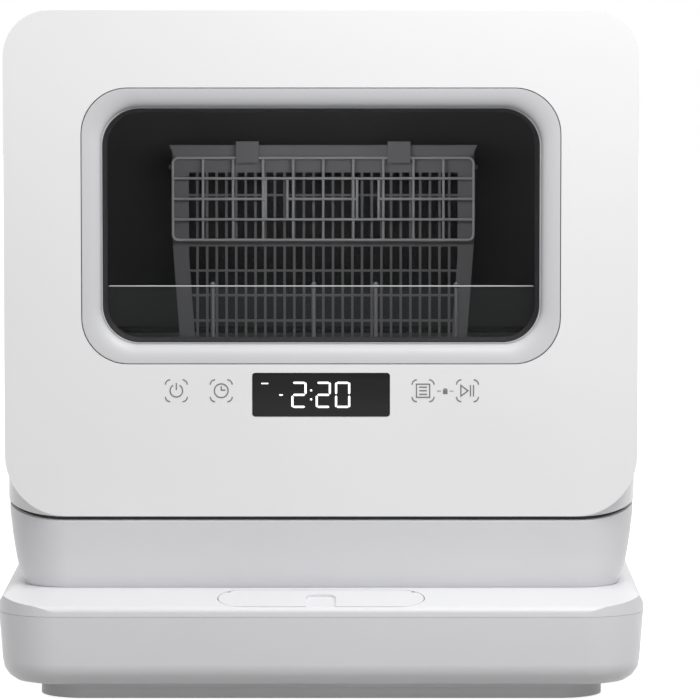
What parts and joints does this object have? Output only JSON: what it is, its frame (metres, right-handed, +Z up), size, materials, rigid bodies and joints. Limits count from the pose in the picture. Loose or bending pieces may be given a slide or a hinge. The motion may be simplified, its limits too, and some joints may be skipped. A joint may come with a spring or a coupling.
{
  "type": "countertop dishwasher",
  "caption": "Compact worktop dishwasher: a windowed white hood with touch controls lifts at the back off a bowl-shaped body on a wide base.",
  "frame": {"origin": "middle of the footprint, on the worktop", "axes": "+X to the right seen from the front, +Y to the back, +Z up; the front faces -Y"},
  "size_m": [0.432, 0.435, 0.46],
  "materials": {
    "hood_white": "smooth satin-gloss white ABS",
    "body_white": "smooth satin white ABS",
    "base_white": "smooth satin white ABS",
    "flap_white": "smooth satin white ABS",
    "bezel_grey": "satin light grey ABS",
    "smoked_glass": "smoked tempered glass, polished",
    "clear_guard": "clear polycarbonate",
    "seal_rubber": "black moulded rubber",
    "liner_grey": "dark grey polypropylene",
    "tub_steel": "brushed stainless sheet",
    "display_black": "gloss black lens",
    "display_light": "lit white segments",
    "print_grey": "grey screen print",
    "electronics": "black nylon",
    "board_green": "green glass-fibre board",
    "bare_steel": "bright zinc-plated steel",
    "bracket_steel": "pressed zinc-plated steel",
    "sump_plastic": "dark grey polypropylene",
    "spray_grey": "grey polypropylene",
    "pump_plastic": "black glass-filled nylon",
    "motor_steel": "painted steel can",
    "hose_black": "black EPDM",
    "fitting_grey": "grey glass-filled nylon",
    "tank_white": "natural polypropylene",
    "plinth_grey": "grey polypropylene",
    "panel_grey": "white powder-coated sheet",
    "rack_grey": "grey polypropylene",
    "shelf_grey": "grey coated wire and polypropylene"
  },
  "bodies": {
    "body": {"hinge_pins": "bare_steel", "hinge_brackets": "bracket_steel", "hinge_dampers": "electronics", "hood_lock": "electronics", "lower_housing": "body_white", "wash_tub": "tub_steel", "hood_gasket": "seal_rubber", "splash_guard": "clear_guard", "sump": "sump_plastic", "filter_plate": "tub_steel", "spray_hub": "sump_plastic", "spray_cap": "sump_plastic", "wash_pump": "pump_plastic", "wash_motor": "motor_steel", "drain_pump": "pump_plastic", "drain_motor": "motor_steel", "flow_heater": "motor_steel", "circulation_hoses": "hose_black", "drain_hose": "hose_black", "inlet_valve": "fitting_grey", "inlet_connector": "fitting_grey", "drain_spigot": "fitting_grey", "cord_gland": "hose_black", "vent_grille": "panel_grey", "fan_housing": "pump_plastic", "main_board": "board_green", "water_tank": "tank_white", "fill_funnel": "tank_white", "flap_pins": "bare_steel", "base_shell": "base_white", "base_cover": "base_white", "foot_plinth": "plinth_grey", "rubber_feet": "seal_rubber", "back_panel": "panel_grey", "panel_screws": "bare_steel", "dish_rack": "rack_grey", "rack_feet": "rack_grey", "rack_front": "rack_grey", "rack_sides": "rack_grey", "rack_back_wall": "rack_grey", "rack_tines": "rack_grey", "shelf_clips": "rack_grey"},
    "hood": {"hood_shell": "hood_white", "window_bezel": "bezel_grey", "window_glass": "smoked_glass", "window_seal": "seal_rubber", "hood_liner": "liner_grey", "display_lens": "display_black", "display_digits": "display_light", "key_icons": "print_grey", "display_module": "electronics", "control_board": "board_green", "touch_pads": "bare_steel", "hinge_arms": "bare_steel", "latch_striker": "bare_steel"},
    "fill_flap": {"fill_flap": "flap_white"},
    "cup_shelf": {"cup_shelf": "shelf_grey"},
    "spray_arm": {"spray_arm": "spray_grey"},
    "wash_impeller": {"wash_impeller": "pump_plastic"},
    "drain_impeller": {"drain_impeller": "pump_plastic"},
    "fan_rotor": {"fan_rotor": "pump_plastic"},
    "filter": {"filter_basket": "sump_plastic"},
    "cutlery": {"cutlery_basket": "shelf_grey", "basket_posts": "shelf_grey"}
  },
  "joints": [
    {"name": "hood_lift", "type": "hinge", "parent": "body", "child": "hood", "pos_m": [0, 0.2055, 0.22388], "axis": [-1, 0, 0], "range_deg": [0, 78]},
    {"name": "fill_flap_hinge", "type": "hinge", "parent": "body", "child": "fill_flap", "pos_m": [0, -0.187, 0.0707], "axis": [-1, 0, 0], "range_deg": [0, 85]},
    {"name": "cup_shelf_fold", "type": "hinge", "parent": "body", "child": "cup_shelf", "pos_m": [0, 0.102, 0.349], "axis": [-1, 0, 0], "range_deg": [0, 90]},
    {"name": "spray_arm_spin", "type": "hinge", "parent": "body", "child": "spray_arm", "pos_m": [0, 0.01, 0.102], "axis": [0, 0, 1], "continuous": true},
    {"name": "wash_impeller_spin", "type": "hinge", "parent": "body", "child": "wash_impeller", "pos_m": [-0.07, 0.01, 0.041], "axis": [1, 0, 0], "continuous": true},
    {"name": "drain_impeller_spin", "type": "hinge", "parent": "body", "child": "drain_impeller", "pos_m": [0.068, 0.01, 0.041], "axis": [1, 0, 0], "continuous": true},
    {"name": "fan_spin", "type": "hinge", "parent": "body", "child": "fan_rotor", "pos_m": [-0.1565, 0.2, 0.0436], "axis": [0, 1, 0], "continuous": true},
    {"name": "filter_twist", "type": "hinge", "parent": "body", "child": "filter", "pos_m": [0, 0.01, 0.08], "axis": [0, 0, 1], "range_deg": [0, 60]},
    {"name": "cutlery_lift", "type": "slide", "parent": "body", "child": "cutlery", "axis": [0, 0, 1], "range_m": [0, 0.1]}
  ]
}
